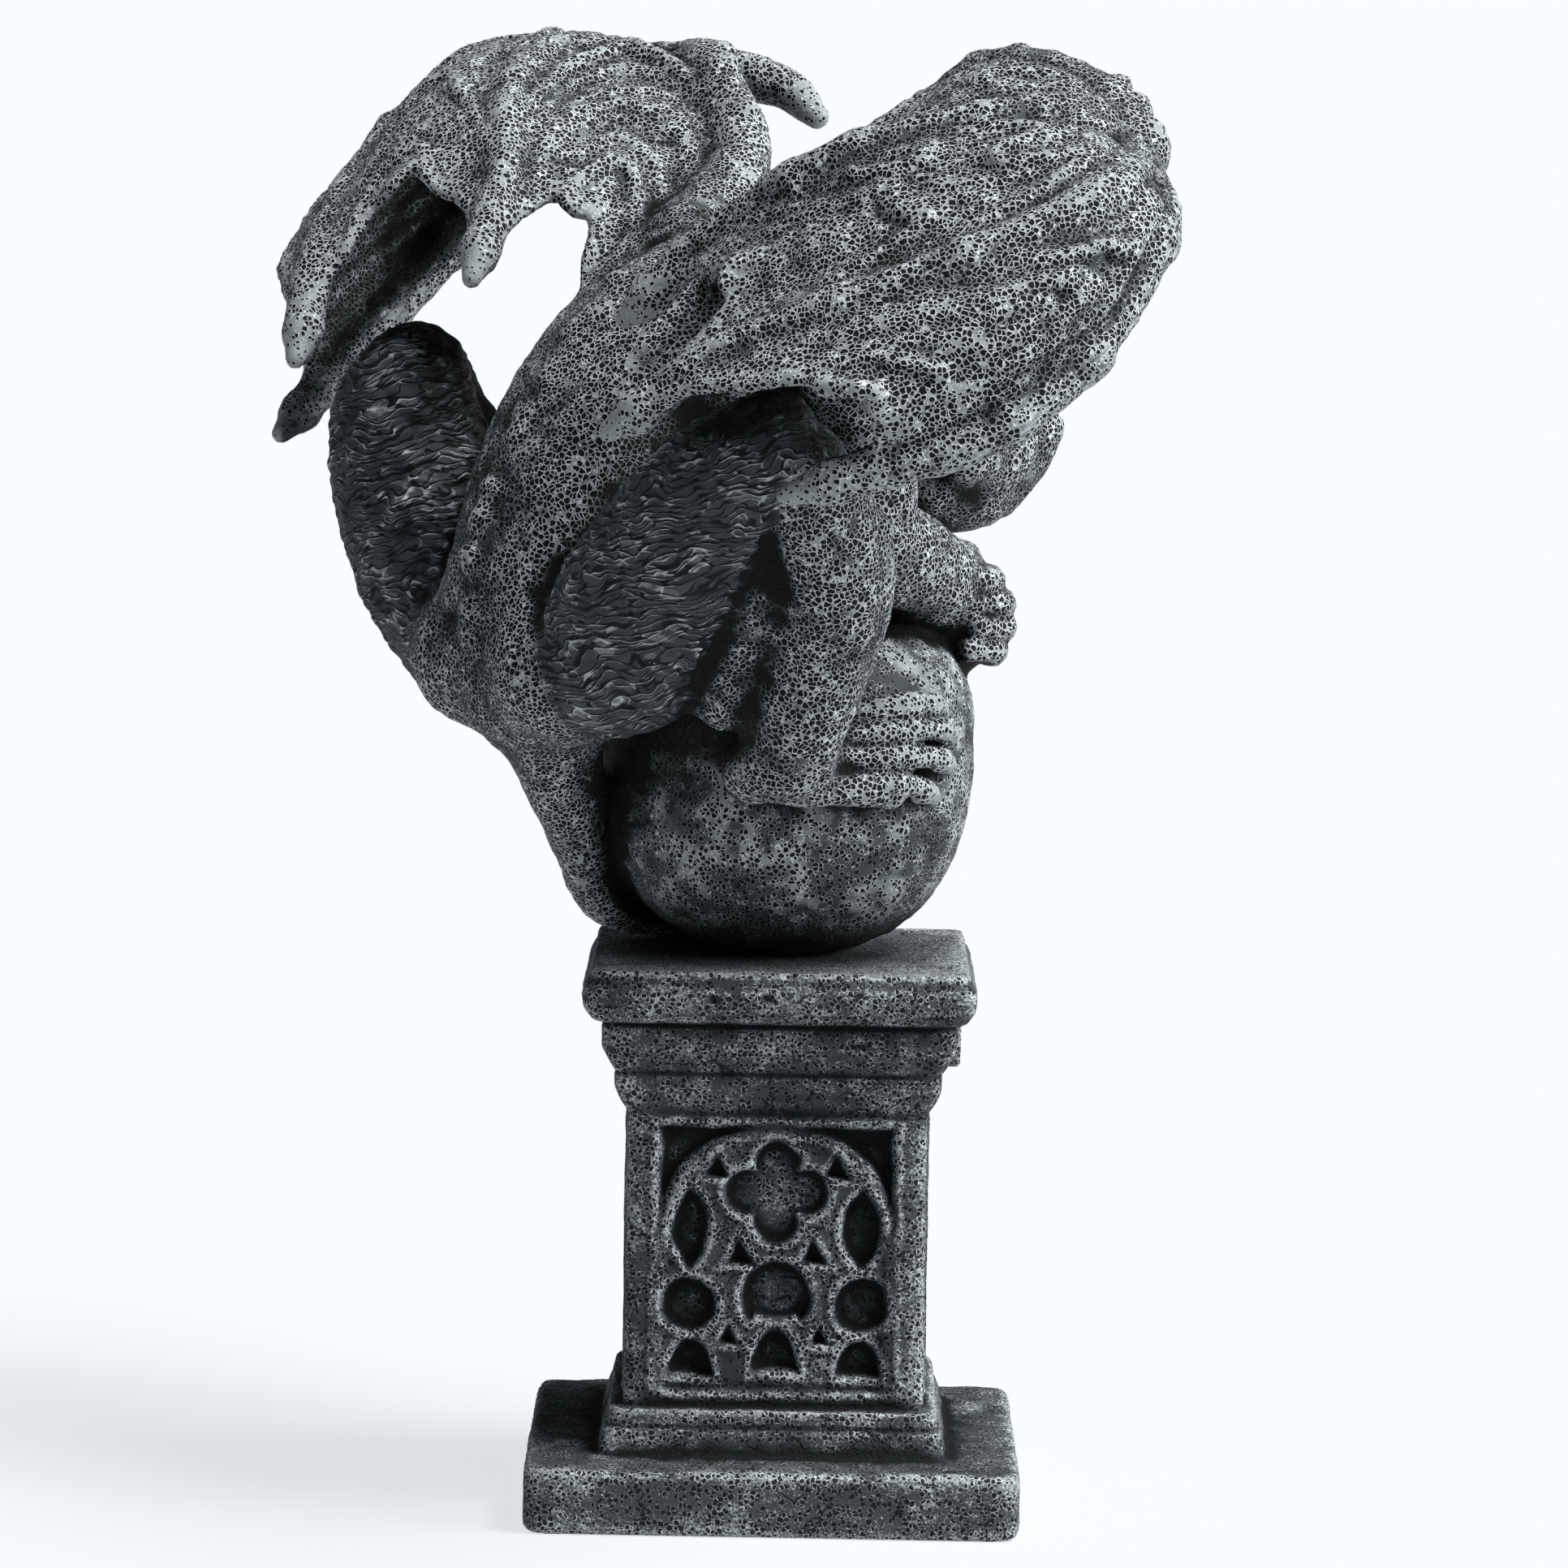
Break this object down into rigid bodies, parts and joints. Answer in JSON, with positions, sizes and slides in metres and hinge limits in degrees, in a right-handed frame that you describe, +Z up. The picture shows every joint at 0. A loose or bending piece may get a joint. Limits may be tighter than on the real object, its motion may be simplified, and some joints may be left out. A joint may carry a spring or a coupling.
{
  "type": "gargoyle statue",
  "caption": "Crouching winged gargoyle hugging a ball, cast in dark stone-look resin and set at an angle on a square plinth with blind tracery, stepped foot and moulded cornice.",
  "frame": {"origin": "centre of the plinth's underside", "axes": "+Z up; X and Y square to the plinth's faces, +X through the face with the blank shield boss, -Y out of the face seen square on; the figure faces 34 degrees left of +X"},
  "size_m": [0.1704, 0.2021, 0.2787],
  "materials": {
    "figure_stone": "pitted charcoal cast resin with pale grey dry-brushed edges",
    "plinth_stone": "brushed charcoal cast resin with pale grey dry-brushed edges"
  },
  "bodies": {
    "root": {"gargoyle": "figure_stone", "plinth": "plinth_stone"}
  },
  "joints": []
}
